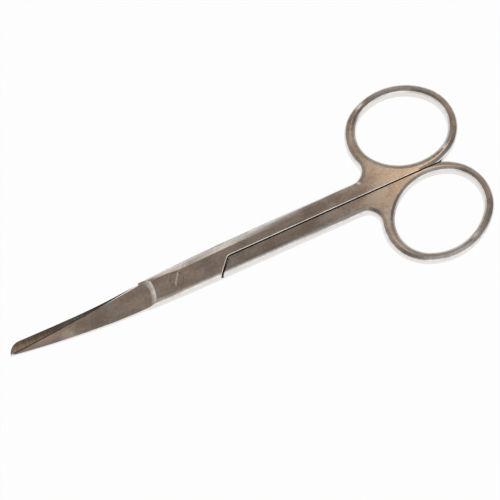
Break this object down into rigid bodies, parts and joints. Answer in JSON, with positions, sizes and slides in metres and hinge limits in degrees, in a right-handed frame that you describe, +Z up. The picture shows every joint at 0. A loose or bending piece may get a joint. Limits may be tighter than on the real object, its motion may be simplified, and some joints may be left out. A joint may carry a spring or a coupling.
{
  "type": "curved scissors",
  "caption": "Curved surgical scissors with a sharp and a blunt blade, a lapped lock with a slotted pivot screw and oval finger rings.",
  "frame": {"origin": "bottom centre of the closed scissors, on the surface they lie on, midway between the blade tips and the ring ends", "axes": "+X from the blade tips to the finger rings, +Y across towards the front half's ring, +Z up from the resting surface, the way the blades curve"},
  "size_m": [0.1454, 0.055, 0.0096],
  "materials": {
    "front_steel": "satin",
    "back_steel": "satin",
    "screw_steel": "satin"
  },
  "bodies": {
    "back": {"back_half": "back_steel", "pivot_screw": "screw_steel"},
    "front": {"front_half": "front_steel"}
  },
  "joints": [
    {"name": "pivot", "type": "hinge", "parent": "back", "child": "front", "pos_m": [-0.0212, -0.00032, 0.0022], "axis": [0, 0, 1], "range_deg": [0, 80]}
  ]
}
